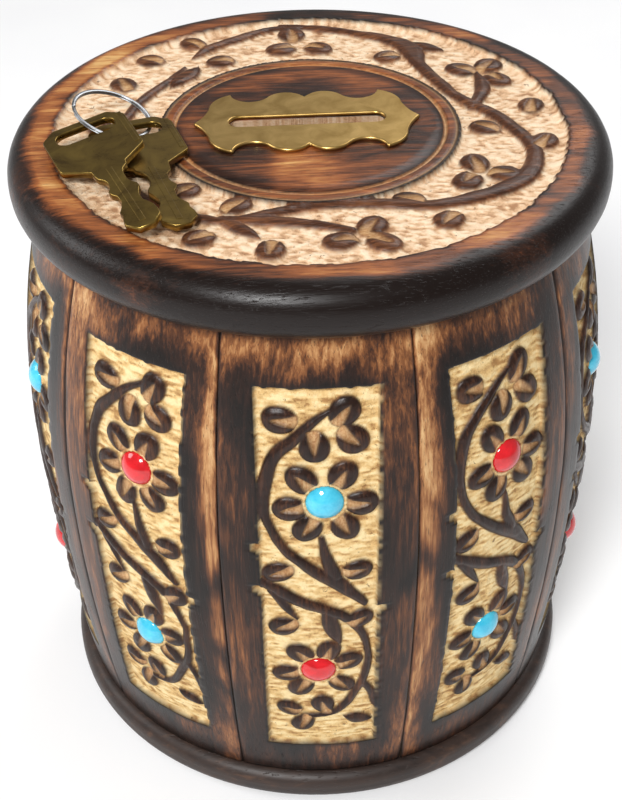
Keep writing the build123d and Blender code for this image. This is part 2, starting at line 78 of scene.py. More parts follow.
SLOT_CENTRE, SLOT_L, SLOT_W = (-0.5, 0.8), 33.6, 4.6
PLATE_T, PLATE_BEVEL = 1.0, 0.28
KEY_T, KEY_BEVEL, KEY_HOLE_AT = 1.5, 0.14, 4.4
RING_PLACE, RING_NORMAL, RING_R = (-41.95, 1.05, 3.6), (0.368, -0.082, 1.0), 8.32

# ---------------------------------------------------------------- fields on a surface


def smooth(a, b, x):
    t = np.clip((x - a) / (b - a), 0, 1)
    return t * t * (3 - 2 * t)


def noise(x, y, size, seed=0):
    """Lattice noise from -1 to 1 with features of about that size."""
    u, v = x / size, y / size
    i, j = np.floor(u), np.floor(v)
    f, g = u - i, v - j
    f, g = f * f * (3 - 2 * f), g * g * (3 - 2 * g)

    def corner(di, dj):
        h = np.sin((i + di) * 127.1 + (j + dj) * 311.7 + seed * 74.7) * 43758.5453
        return h - np.floor(h)

    low = corner(0, 0) * (1 - f) + corner(1, 0) * f
    high = corner(0, 1) * (1 - f) + corner(1, 1) * f
    return (low * (1 - g) + high * g) * 2 - 1


def curve_through(points, per=10):
    """A smooth line through points, which may carry a width as third number."""
    p = np.array(points, float)
    p = np.vstack([2 * p[0] - p[1], p, 2 * p[-1] - p[-2]])
    out = []
    for k in range(1, len(p) - 2):
        for t in np.arange(per) / per:
            out.append(0.5 * (2 * p[k] + (p[k + 1] - p[k - 1]) * t
                              + (2 * p[k - 1] - 5 * p[k] + 4 * p[k + 1] - p[k + 2]) * t**2
                              + (3 * p[k] - p[k - 1] - 3 * p[k + 1] + p[k + 2]) * t**3))
    out.append(p[-2])
    return np.array(out)


def stroke(x, y, points):
    """Signed distance to a line of varying half width."""
    best = np.full(np.shape(x), 99.0)
    line = curve_through(points)
    for a, b in zip(line[:-1], line[1:]):
        dx, dy = b[0] - a[0], b[1] - a[1]
        t = np.clip(((x - a[0]) * dx + (y - a[1]) * dy) / (dx * dx + dy * dy + 1e-9), 0, 1)
        d = np.hypot(x - a[0] - t * dx, y - a[1] - t * dy) - (a[2] + (b[2] - a[2]) * t)
        best = np.minimum(best, d)
    return best


def lens(x, y, start, end, half_w):
    """A pointed leaf from start to end."""
    dx, dy = end[0] - start[0], end[1] - start[1]
    length = math.hypot(dx, dy)
    u = ((x - start[0]) * dx + (y - start[1]) * dy) / length
    v = (-(x - start[0]) * dy + (y - start[1]) * dx) / length
    inside = half_w * np.clip(4 * u * (length - u) / length**2, -3, 1)
    return np.abs(v) - inside


class Carving:
    """Raised motifs left standing on a sunk ground: signed distance, gouges and how dark each is."""

    def __init__(self, x, y):
        self.x, self.y = x, y
        self.sd = np.full(np.shape(x), 99.0)
        self.gouge = np.zeros(np.shape(x))
        self.cut = np.zeros(np.shape(x))

    def petal(self, cx, cy, angle, length, width, gouge=1.0, base=0.5, reach=0.22):
        """A rounded petal with a gouge along it, from base of its length behind the middle to reach past it."""
        a = math.radians(angle)
        u = (self.x - cx) * math.cos(a) + (self.y - cy) * math.sin(a)
        v = -(self.x - cx) * math.sin(a) + (self.y - cy) * math.cos(a)
        w = width * (1 + 0.10 * u / length)
        q = np.sqrt((2 * u / length) ** 2 + (2 * v / w) ** 2)
        self.sd = np.minimum(self.sd, (q - 1) * width / 2)
        t = np.clip((u + base * length) / ((base + reach) * length), 0, 1)
        half = (1.15 * (1 - t) ** 0.7 + 0.12) * width / 5.7
        inside = smooth(0.25, -0.3, np.abs(v) - half) * smooth(-base * length - 0.6, -base * length + 0.4, u)
        inside = inside * smooth(reach * length + 0.7, reach * length - 0.5, u) * (q < 1.08)
        depth = inside * (1 - 0.55 * np.abs(v) / (half + 0.3))
        # Pale cut wood in the gouge, with a painted highlight: lighter along its middle line and toward its foot.
        pale_and_highlight = (1 - 0.45 * t) * (0.62 + 0.38 * np.clip(1 - np.abs(v) / (half + 0.1), 0, 1))
        self.gouge = np.maximum(self.gouge, gouge * inside * pale_and_highlight)
        self.cut = np.maximum(self.cut, gouge * depth)

    def flower(self, cx, cy, angles, distance, length, width):
        for angle in angles:
            a = math.radians(angle)
            self.petal(cx + distance * math.cos(a), cy + distance * math.sin(a), angle, length, width)

    def stroke(self, points):
        self.sd = np.minimum(self.sd, stroke(self.x, self.y, points))

    def lens(self, start, end, half_w):
        self.sd = np.minimum(self.sd, lens(self.x, self.y, start, end, half_w))


# ---------------------------------------------------------------- meshes


def new_object(name, verts_mm, faces, materials, indices=None):
    mesh = bpy.data.meshes.new(name)
    mesh.from_pydata((np.asarray(verts_mm, float) * MM).tolist(), [], faces)
    for m in materials:
        mesh.materials.append(m)
    if indices is not None:
        mesh.polygons.foreach_set("material_index", np.asarray(indices, np.int32))
    mesh.polygons.foreach_set("use_smooth", np.full(len(mesh.polygons), True))
    mesh.validate()
    mesh.update()
    obj = bpy.data.objects.new(name, mesh)
    bpy.context.scene.collection.objects.link(obj)
    return obj


def add_field(obj, name, values):
    data = obj.data.attributes.new(name, "FLOAT", "POINT")
    data.data.foreach_set("value", np.asarray(values, np.float32).ravel())


def grid_faces(rows, cols):
    """Quads of a grid of rows x cols points that closes on itself both ways."""
    i = np.arange(rows)[:, None]
    j = np.arange(cols)[None, :]
    i2, j2 = (i + 1) % rows, (j + 1) % cols
    quads = np.stack([i * cols + j, i2 * cols + j, i2 * cols + j2, i * cols + j2], -1)
    return quads.reshape(-1, 4).tolist()


RIDGE_ROOT, RIDGE_SLOPE, RIDGE_H = 0.2, 0.12, 0.09


def flat_piece(name, outer, holes, thickness, bevel, place, material, ridges=()):
    """A flat plate with bevelled edges and low raised strips, each strip given by two opposite corners.

    outer and holes are outlines of points, and place is a 4x4 matrix in mm.
    """
    bm = bmesh.new()

    def inset(loop, amount):
        p = np.array(loop, float)
        before, after = np.roll(p, 1, 0), np.roll(p, -1, 0)
        tangent = after - before
        tangent /= np.maximum(np.linalg.norm(tangent, axis=1), 1e-9)[:, None]
        return p + amount * np.column_stack([-tangent[:, 1], tangent[:, 0]])

    top_edges, low_edges = [], []
    for k, loop in enumerate([outer, *holes]):
        amount = bevel if k == 0 else -bevel
        levels = [(inset(loop, amount), 0.0), (np.array(loop, float), bevel),
                  (np.array(loop, float), thickness - bevel), (inset(loop, amount), thickness)]
        rings = [[bm.verts.new((p[0], p[1], z)) for p in ring] for ring, z in levels]
        for low, high in zip(rings[:-1], rings[1:]):
            for i in range(len(low)):
                j = (i + 1) % len(low)
                bm.faces.new((low[i], low[j], high[j], high[i])).smooth = True
        low_edges += [bm.edges.get((rings[0][i], rings[0][(i + 1) % len(loop)])) for i in range(len(loop))]
        top_edges += [bm.edges.get((rings[-1][i], rings[-1][(i + 1) % len(loop)])) for i in range(len(loop))]
    for edges in (low_edges, top_edges):
        for f in bmesh.ops.triangle_fill(bm, edges=edges, use_beauty=True)["geom"]:
            if isinstance(f, bmesh.types.BMFace):
                f.smooth = False
    for (x0, y0), (x1, y1) in ridges:
        rings = []
        for e, z in ((0.0, -RIDGE_ROOT), (0.0, 0.02), (RIDGE_SLOPE, RIDGE_H)):
            corners = ((x0 + e, y0 + e), (x1 - e, y0 + e), (x1 - e, y1 - e), (x0 + e, y1 - e))
            rings.append([bm.verts.new((x, y, thickness + z)) for x, y in corners])
        for low, high in zip(rings[:-1], rings[1:]):
            for i in range(4):
                bm.faces.new((low[i], low[(i + 1) % 4], high[(i + 1) % 4], high[i]))
        bm.faces.new(rings[0][::-1])
        bm.faces.new(rings[-1])
    bmesh.ops.recalc_face_normals(bm, faces=bm.faces)
    bm.transform(place)
    bm.transform(Matrix.Scale(MM, 4))
    mesh = bpy.data.meshes.new(name)
    bm.to_mesh(mesh)
    bm.free()
    mesh.materials.append(material)
    obj = bpy.data.objects.new(name, mesh)
    bpy.context.scene.collection.objects.link(obj)
    return obj


# ---------------------------------------------------------------- materials


class Graph:
    """A small helper for building node materials."""

    def __init__(self, name):
        self.mat = bpy.data.materials.new(name)
        self.mat.use_nodes = True
        self.tree = self.mat.node_tree
        self.tree.nodes.clear()
        out = self.add("ShaderNodeOutputMaterial")
        self.shader = self.add("ShaderNodeBsdfPrincipled")
        self.tree.links.new(self.shader.outputs[0], out.inputs[0])
        self.mm = self.scaled(self.add("ShaderNodeTexCoord").outputs["Object"], (1000, 1000, 1000))

    def add(self, kind, **settings):
        node = self.tree.nodes.new(kind)
        for key, value in settings.items():
            setattr(node, key, value)
        return node

    def put(self, socket, value):
        if isinstance(value, bpy.types.NodeSocket):
            self.tree.links.new(value, socket)
        elif socket.type == "RGBA":
            socket.default_value = (*value, 1.0)
        else:
            socket.default_value = value

    def set(self, **values):
        for key, value in values.items():
            self.put(self.shader.inputs[key.replace("_", " ")], value)

    def scaled(self, vector, scale):
        node = self.add("ShaderNodeVectorMath", operation="MULTIPLY")
        self.put(node.inputs[0], vector)
        node.inputs[1].default_value = scale
        return node.outputs[0]

    def noise(self, scale, detail, rough=0.55, bend=0.0):
        """Noise whose scale is features per millimetre along x, y and z."""
        node = self.add("ShaderNodeTexNoise")
        self.put(node.inputs["Vector"], self.scaled(self.mm, scale))
        node.inputs["Scale"].default_value = 1.0
        node.inputs["Detail"].default_value = detail
        node.inputs["Roughness"].default_value = rough
        node.inputs["Distortion"].default_value = bend
        return node.outputs["Fac"]

    def math(self, operation, a, b=0.0, clamp=False):
        node = self.add("ShaderNodeMath", operation=operation, use_clamp=clamp)
        self.put(node.inputs[0], a)
        self.put(node.inputs[1], b)
        return node.outputs[0]

    def sum(self, *terms):
        """Adds (value, factor) pairs."""
        total = None
        for value, factor in terms:
            part = self.math("MULTIPLY", value, factor)
            total = part if total is None else self.math("ADD", total, part)
        return total

    def band(self, value, low, high):
        node = self.add("ShaderNodeMapRange", interpolation_type="SMOOTHSTEP")
        self.put(node.inputs["Value"], value)
        node.inputs["From Min"].default_value = low
        node.inputs["From Max"].default_value = high
        return node.outputs["Result"]

    def ramp(self, fac, stops):
        node = self.add("ShaderNodeValToRGB")
        self.put(node.inputs["Fac"], fac)
        elements = node.color_ramp.elements
        while len(elements) < len(stops):
            elements.new(0.5)
        for element, (place, colour) in zip(elements, stops):
            element.position = place
            element.color = (*colour, 1.0)
        return node.outputs["Color"]

    def mix(self, fac, a, b):
        node = self.add("ShaderNodeMix", data_type="RGBA", clamp_factor=True)
        self.put(node.inputs["Factor"], fac)
        self.put([s for s in node.inputs if s.name == "A" and s.type == "RGBA"][0], a)
        self.put([s for s in node.inputs if s.name == "B" and s.type == "RGBA"][0], b)
        return [s for s in node.outputs if s.type == "RGBA"][0]

    def field(self, name):
        return self.add("ShaderNodeAttribute", attribute_name=name).outputs["Fac"]

    def bump(self, height, distance_mm, strength=1.0):
        node = self.add("ShaderNodeBump")
        node.inputs["Strength"].default_value = strength
        node.inputs["Distance"].default_value = distance_mm * MM
        self.put(node.inputs["Height"], height)
        return node.outputs[0]


BODY_STOPS = [(0.0, (0.006, 0.003, 0.002)), (0.28, (0.025, 0.010, 0.006)), (0.45, (0.085, 0.030, 0.012)),
              (0.62, (0.23, 0.085, 0.028)), (0.8, (0.45, 0.22, 0.085)), (1.0, (0.66, 0.42, 0.2))]
LID_STOPS = [(0.0, (0.007, 0.003, 0.002)), (0.25, (0.035, 0.013, 0.007)), (0.45, (0.14, 0.042, 0.014)),
             (0.65, (0.32, 0.10, 0.028)), (0.85, (0.52, 0.23, 0.07)), (1.0, (0.68, 0.4, 0.15))]

GOUGE_STOPS = [(0.3, (0.22, 0.09, 0.032)), (0.5, (0.52, 0.27, 0.11)), (0.75, (0.84, 0.58, 0.30))]


def carved_wood(name, stops, grain, fine, ground_stops, motif_stops, tone, figure, detail):
    """Burnt streaky wood whose carved ground is pale; the mesh's fields say where each is.

    grain and fine are features per millimetre, and tone, figure and detail set how light and how streaky it is.
    """
    g = Graph(name)
    flow = g.noise(grain, 5.0, 0.6, 1.4)
    streak = g.noise(fine, 7.0, 0.65, 0.5)
    cloud = g.noise((0.045, 0.045, 0.03), 3.0, 0.5, 0.8)
    pores = g.band(g.noise((fine[0] * 2.4, fine[1] * 2.4, fine[2] * 2.4), 3.0, 0.5), 0.60, 0.72)
    # The darkening field holds real scorch and, on the staves, painted shade at their ends.
    level = g.sum((flow, figure), (streak, detail), (cloud, 0.55), (g.field("tone"), 1.0), (g.field("burn_and_shade"), -0.62))
    wood = g.ramp(g.math("ADD", level, tone, True), stops)
    wood = g.mix(g.math("MULTIPLY", pores, 0.6), wood, (0.012, 0.005, 0.003))
    ticks = g.noise((1.9, 1.9, 1.9), 4.0, 0.7, 0.6)
    patches = g.noise((0.22, 0.22, 0.22), 4.0, 0.6)
    fleck = g.band(g.noise((0.85, 0.85, 0.85), 4.0, 0.75, 1.0), 0.60, 0.69)
    ground = g.ramp(g.sum((ticks, 0.55), (patches, 0.6), (g.field("tick"), 0.30)), ground_stops)
    ground = g.mix(g.math("MULTIPLY", fleck, 0.75), ground, (0.10, 0.035, 0.012))
    # Painted shade: the carved ground is darkened toward this brown where the shade field says.
    ground = g.mix(g.field("shade"), ground, (0.16, 0.065, 0.022))
    motif = g.ramp(g.sum((flow, 0.5), (streak, 0.7)), motif_stops)
    gouged = g.ramp(g.sum((streak, 0.6), (ticks, 0.5)), GOUGE_STOPS)
    colour = g.mix(g.field("ground"), wood, ground)
    colour = g.mix(g.field("motif"), colour, motif)
    # The gouge field is pale cut wood, with a painted highlight along the middle and foot of each petal's gouge.
    colour = g.mix(g.field("gouge"), colour, gouged)
    grit = g.math("MULTIPLY", g.math("SUBTRACT", ticks, 0.5), g.field("ground"))
    height = g.sum((streak, 0.35), (pores, -0.35), (grit, 1.6))
    rough = g.sum((streak, 0.22), (g.field("ground"), 0.42), (g.field("gouge"), 0.15))
    g.set(Base_Color=colour, Roughness=g.math("ADD", rough, 0.22, True), Normal=g.bump(height, 0.16))
    g.shader.inputs["Specular IOR Level"].default_value = 0.28
    return g.mat


def plain_wood(name, stops, grain, roughness):
    g = Graph(name)
    flow = g.noise(grain, 5.0, 0.6, 1.0)
    fine = g.noise(tuple(6 * s for s in grain), 6.0, 0.65, 0.3)
    wood = g.ramp(g.sum((flow, 0.6), (fine, 0.45)), stops)
    pores = g.band(g.noise(tuple(14 * s for s in grain), 3.0, 0.5), 0.6, 0.7)
    wood = g.mix(g.math("MULTIPLY", pores, 0.5), wood, (0.02, 0.01, 0.006))
    g.set(Base_Color=wood, Roughness=g.math("ADD", g.math("MULTIPLY", fine, 0.3), roughness, True),
          Normal=g.bump(g.sum((fine, 0.4), (pores, -0.5)), 0.12))
    return g.mat


def metal(name, dark, light, roughness, grime):
    g = Graph(name)
    cloud = g.noise((0.16, 0.16, 0.16), 5.0, 0.62, 0.8)
    brushed = g.noise((0.6, 6.0, 6.0), 5.0, 0.6)
    spots = g.band(g.noise((0.8, 0.8, 0.8), 5.0, 0.7), 0.60, 0.74)
    colour = g.ramp(cloud, [(0.3, dark), (0.7, light)])
    colour = g.mix(g.math("MULTIPLY", spots, grime), colour, tuple(0.3 * c for c in dark))
    g.set(Base_Color=colour, Metallic=1.0,
          Roughness=g.math("ADD", g.sum((cloud, 0.18), (brushed, 0.12), (spots, 0.2)), roughness - 0.15, True),
          Normal=g.bump(g.sum((brushed, 0.5), (spots, -0.3)), 0.02))
    return g.mat


def glass(name, deep, light):
    g = Graph(name)
    cloud = g.noise((0.35, 0.35, 0.35), 3.0, 0.5, 0.5)
    veil = g.noise((2.0, 2.0, 2.0), 3.0, 0.6)
    colour = g.ramp(g.sum((cloud, 0.8), (veil, 0.2)), [(0.35, deep), (0.7, light)])
    g.set(Base_Color=colour, Roughness=g.math("ADD", g.math("MULTIPLY", veil, 0.08), 0.08), Coat_Weight=0.5,
          Normal=g.bump(veil, 0.01, 0.4))
    g.shader.inputs["Coat Roughness"].default_value = 0.05
    return g.mat


stave_mat = carved_wood("stave_wood", BODY_STOPS, (0.20, 0.20, 0.016), (1.3, 1.3, 0.07),
                        [(0.3, (0.40, 0.21, 0.075)), (0.5, (0.74, 0.49, 0.205)), (0.75, (0.92, 0.72, 0.39))],
                        [(0.38, (0.005, 0.003, 0.002)), (0.62, (0.026, 0.010, 0.006)), (0.85, (0.12, 0.045, 0.018))],
                        tone=-0.77, figure=0.85, detail=0.95)
lid_mat = carved_wood("lid_wood", LID_STOPS, (0.035, 0.24, 0.24), (0.11, 1.7, 1.7),
                      [(0.3, (0.44, 0.23, 0.115)), (0.5, (0.78, 0.51, 0.30)), (0.75, (0.95, 0.75, 0.53))],
                      [(0.38, (0.014, 0.006, 0.003)), (0.6, (0.075, 0.026, 0.011)), (0.85, (0.26, 0.10, 0.038))],
                      tone=-0.63, figure=0.95, detail=0.75)
inner_mat = plain_wood("inner_wood",
                       [(0.3, (0.20, 0.11, 0.05)), (0.55, (0.36, 0.22, 0.11)), (0.8, (0.5, 0.34, 0.19))],
                       (0.2, 0.2, 0.02), 0.55)
base_mat = plain_wood("base_wood",
                      [(0.35, (0.010, 0.006, 0.005)), (0.58, (0.035, 0.018, 0.012)), (0.85, (0.17, 0.08, 0.04))],
                      (0.03, 0.12, 0.12), 0.32)
board_mat = plain_wood("board_wood",
                       [(0.3, (0.30, 0.17, 0.08)), (0.55, (0.48, 0.31, 0.16)), (0.8, (0.64, 0.46, 0.27))],
                       (0.02, 0.3, 0.3), 0.5)
brass_mat = metal("aged_brass", (0.46, 0.28, 0.075), (0.66, 0.44, 0.16), 0.33, 0.12)
key_mat = metal("key_brass", (0.17, 0.105, 0.03), (0.36, 0.24, 0.06), 0.30, 0.45)
steel_mat = metal("steel", (0.24, 0.25, 0.26), (0.42, 0.43, 0.45), 0.30, 0.3)
turquoise_mat = glass("turquoise_glass", (0.03, 0.44, 0.66), (0.10, 0.64, 0.84))
red_mat = glass("red_glass", (0.50, 0.004, 0.008), (0.78, 0.012, 0.02))

# ---------------------------------------------------------------- staves


def barrel(z):
    """Radius and tilt of the outward normal of the barrel at heights z."""
    rise = z - BELLY_Z
    mouth_rise = np.where(rise > 0, LID_Z, BASE_T) - BELLY_Z
    drop = BELLY_R - np.where(rise > 0, UPPER_MOUTH_R, LOWER_MOUTH_R)
    curvature = (mouth_rise**2 + drop**2) / (2 * drop)
    return BELLY_R - curvature + np.sqrt(curvature**2 - rise**2), np.arcsin(rise / curvature)


def carve_panel(x, z, rng):
    """The panel's design: two bead flowers, three-petal flowers, leaves and a winding stem."""
    def j(amount=0.45):
        return rng.uniform(-amount, amount)

    warp_x = x + 0.25 * noise(x, z, 4.0, rng.randint(0, 99))
    warp_z = z + 0.25 * noise(x, z, 4.0, rng.randint(100, 199))
    c = Carving(warp_x, warp_z)
    ux, uz = UPPER_BEAD
    lx, lz = LOWER_BEAD
    c.flower(ux, uz, [a + j(5) for a in (128, 62, -6, -56, -116, -168)], 7.4, 7.4, 6.0)
    c.flower(lx, lz, [a + j(5) for a in (128, 68, 20, -42, -122, 186)], 7.2, 7.0, 5.6)
    for px, pz, angle in ((-7.3, 118.6, 180), (-0.5, 112.4, -92), (7.2, 113.4, -42), (4.9, 119.6, 62)):
        c.petal(px + j(), pz + j(), angle + j(8), 7.2, 6.2)
    for px, pz, angle in ((-9.0, 80.6, 205), (8.1, 80.4, 12), (9.0, 65.4, 30), (-7.8, 63.6, 200)):
        c.petal(px + j(), pz + j(), angle + j(8), 6.8, 5.6)
    for px, pz, angle in ((-7.6, 34.4, 155), (0.1, 35.7, 100), (-4.4, 28.4, -110)):
        c.petal(px + j(), pz + j(), angle + j(8), 6.6, 5.4)
    c.lens((5.0, 30.6), (12.0, 28.2), 1.9)
    c.stroke([(3.5, 120.8, 0.5), (-1, 118, 0.9), (-5, 114, 1.3), (-9.2, 109.5, 1.5), (-11.2, 102, 1.4),
              (-11.0, 95, 1.1), (-8.6, 89, 1.1), (-4.6, 83.8, 1.3), (0.6, 79.6, 1.7), (5, 76, 1.9), (9.6, 70.4, 0.9)])
    c.stroke([(0.4, 90, 0.7), (1.6, 84, 1.3), (3.2, 79, 1.6)])
    c.stroke([(-12.4, 77.4, 1.3), (-8.6, 74.6, 1.6), (-4.0, 71.6, 1.6), (0.6, 69.2, 1.6), (5.4, 66.4, 1.4),
              (8.8, 61.4, 1.1), (10.6, 55, 0.9), (10.2, 47, 1.0), (8.2, 40.6, 1.1), (4.6, 34, 1.0), (0, 31.6, 0.9),
              (-4, 31.4, 0.5)])
    c.stroke([(-10.4, 74.6, 1.0), (-7.6, 70.4, 1.1), (-5.0, 66.2, 0.3)])
    c.lens((0.4, 70.4), (4.6, 57.2), 1.9)
    c.stroke([(9.4, 44, 0.8), (11.6, 39, 0.9), (12.4, 34, 0.5)])
    return c


# How much pale sapwood each stave has along its left and right edge, and how much lighter it is as a whole
SAPWOOD = ((0.0, 0.15), (0.95, 0.1), (0.2, 0.0), (0.6, 0.1), (0.0, 0.5),
           (0.3, 0.0), (0.1, 0.7), (0.6, 0.0), (0.2, 0.3), (0.25, 0.95))
STAVE_TONES = (0.0, 0.03, 0.0, -0.04, 0.03, 0.0, 0.05, -0.03, 0.02, 0.0)


def build_stave(index):
    """One stave: its outer face is a grid in arc length x and height z, closed by two inner corners."""
    azimuth = math.radians(FRONT_AZIMUTH + 360 / STAVE_COUNT * index)
    half_angle = math.radians(180 / STAVE_COUNT)
    rng = random.Random(100 + index)
    seed = 10 * index
    z = np.concatenate([np.linspace(BASE_T, PANEL_LOW - 0.5, 14), np.arange(PANEL_LOW - 0.3, PANEL_HIGH + 0.35, 0.3),
                        np.linspace(PANEL_HIGH + 0.6, LID_Z, 13)])
    radius, tilt = barrel(z)
    inner = np.arange(-PANEL_HALF_W - 0.3, PANEL_HALF_W + 0.35, 0.3)
    t = np.array([0.0, 0.04, 0.1, 0.25, 0.42, 0.6, 0.78, 0.92])
    edge = radius * half_angle
    left = -edge[:, None] + (edge[:, None] + inner[0]) * t[None, :]
    right = -left[:, ::-1]
    x = np.hstack([left, np.repeat(inner[None, :], len(z), 0), right])
    zz = np.repeat(z[:, None], x.shape[1], 1)

    bx, bz = x + 0.22 * noise(x, zz, 1.3, seed + 1), zz + 0.22 * noise(x, zz, 1.3, seed + 2)
    box = np.maximum(np.abs(bx) - PANEL_HALF_W, np.maximum(PANEL_LOW - bz, bz - PANEL_HIGH))
    for slip_z, side in ((rng.uniform(86, 92), -1), (rng.uniform(72, 78), -1), (rng.uniform(62, 70), 1)):
        box = np.minimum(box, lens(bx, bz, (side * 10.5, slip_z - 2.4), (side * 14.2, slip_z + 1.8), 0.9))
    open_ = smooth(0.2, -0.2, box)  # 1 inside the sunk panel
    c = carve_panel(x, zz, rng)
    keep = smooth(0.2, -0.22, c.sd)
    floor = -PANEL_DEPTH + 0.10 * noise(x, zz, 0.9, seed + 3) + 0.12 * noise(x, zz, 3.1, seed + 4)
    tick = noise(x * 0.5 + zz * 0.2, zz * 1.6, 0.9, seed + 5)
    floor = floor + 0.07 * tick
    top = -0.10 - 0.55 * smooth(-1.5, 0.1, c.sd) - 0.12 * noise(x, zz, 2.2, seed + 6) ** 2
    height = floor * (1 - keep) + top * keep - 0.75 * c.cut * keep
    bead = np.minimum(np.hypot(x - UPPER_BEAD[0], zz - UPPER_BEAD[1]),
                      np.hypot(x - LOWER_BEAD[0], zz - LOWER_BEAD[1]))
    collar = smooth(4.9, 4.5, bead)
    height = height * (1 - collar) + (-1.05 + 0.1 * noise(x, zz, 0.6, seed + 7)) * collar
    height = np.where(bead < BEAD_R, -BEAD_HOLE_DEPTH, height)
    height = height * open_ - 0.06 * smooth(1.4, 0.0, box) * (1 - open_)
    side = edge[:, None] - np.abs(x)
    seam = smooth(0.55, 0.0, side)
    height = height - 0.35 * seam - 0.012 - 0.10 * (1 - open_) * noise(x, zz * 0.3, 4.0, seed + 8) ** 2

    a = azimuth + x / radius[:, None]
    flat = np.cos(tilt)[:, None]
    px = (radius[:, None] + height * flat) * np.cos(a)
    py = (radius[:, None] + height * flat) * np.sin(a)
    pz = np.clip(zz + height * np.sin(tilt)[:, None], BASE_T, LID_Z)
    rows, cols = x.shape
    reach = INNER_APOTHEM / math.cos(half_angle)
    verts = np.zeros((rows, cols + 2, 3))
    verts[:, :cols] = np.stack([px, py, pz], -1)
    for k, turn in ((cols, half_angle), (cols + 1, -half_angle)):
        verts[:, k] = np.column_stack([np.full(rows, reach * math.cos(azimuth + turn)),
                                       np.full(rows, reach * math.sin(azimuth + turn)), z])
    loop = cols + 2
    i = np.arange(rows - 1)[:, None]
    j = np.arange(loop)[None, :]
    j2 = (j + 1) % loop
    quads = np.stack([i * loop + j, i * loop + j2, (i + 1) * loop + j2, (i + 1) * loop + j], -1).reshape(-1, 4)
    inside = np.broadcast_to(j >= cols - 1, (rows - 1, loop)).reshape(-1)
    faces = quads.tolist()
    indices = inside.astype(int).tolist()
    faces.append(list(range(loop))[::-1])
    faces.append([(rows - 1) * loop + k for k in range(loop)])
    indices += [1, 1]
    obj = new_object(f"stave_{index + 1:02d}_carved", verts.reshape(-1, 3), faces, [stave_mat, inner_mat], indices)
    obj.data.polygons.foreach_set("use_smooth", np.array(indices) == 0)

    def widen(field):
        full = np.zeros((rows, cols + 2))
        full[:, :cols] = field
        return full

    raised = keep * (1 - collar)
    gouge = open_ * np.maximum(c.gouge * raised, 0.2 * smooth(0.55, 0.25, np.abs(bead - 4.35)))
    # Painted shade: the sunk ground is darkened at the foot of the raised motifs and along the foot of the panel's
    # walls; both go into the shade field.
    motif_foot_shade = smooth(0.9, 0.15, np.abs(c.sd)) * (1 - keep) * open_ * (0.12 + 0.3 * noise(x, zz, 1.4, seed + 9))
    panel_wall_shade = smooth(0.8, 0.0, -box) * open_ * (0.25 + 0.35 * noise(x, zz, 2.0, seed + 10))
    around = smooth(9.0, 0.0, box) * (1 - open_) * np.clip(0.42 + 0.75 * noise(x, zz * 0.3, 6.0, seed + 11), 0, 1)
    line = smooth(1.1, 0.1, box) * (1 - open_) * 0.45
    # Painted shade: the stave is darkened toward both ends, under the lid's overhang and next to the foot, and added
    # to the real scorch round the panel and along the seams.
    ends = 0.45 * smooth(BASE_T + 9, BASE_T, zz) + 0.25 * smooth(LID_Z - 4, LID_Z, zz)
    burn_and_shade = np.clip(around + line + ends + 0.8 * seam, 0, 1.4)
    sap_left, sap_right = SAPWOOD[index]
    lean = 0.012 * (zz - 80)
    from_right = edge[:, None] - x + lean + 1.2 * noise(x, zz * 0.2, 3.0, seed + 13)
    from_left = edge[:, None] + x - lean + 1.2 * noise(x, zz * 0.2, 3.0, seed + 14)
    tone = 0.42 * (sap_right * smooth(4.6, 0.8, from_right) + sap_left * smooth(7.5, 2.5, from_left))
    tone = tone * (0.55 + 0.45 * smooth(20, 110, zz)) + STAVE_TONES[index]
    tone = tone + 0.24 * smooth(125.5, 129, zz) * (0.45 + 0.55 * noise(x, zz, 7.0, seed + 12))
    add_field(obj, "ground", widen(np.clip(open_ * (1 - raised), 0, 1)))
    add_field(obj, "motif", widen(np.clip(open_ * raised, 0, 1)))
    add_field(obj, "gouge", widen(np.clip(gouge, 0, 1)))
    add_field(obj, "shade", widen(np.clip(motif_foot_shade + panel_wall_shade, 0, 1)))
    add_field(obj, "burn_and_shade", widen(burn_and_shade))
    add_field(obj, "tone", widen(tone))
    add_field(obj, "tick", widen(tick))
    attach(obj, "root")
    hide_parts(f"stave_{index + 1:02d}")


for index in range(STAVE_COUNT):
    build_stave(index)

# ---------------------------------------------------------------- beads


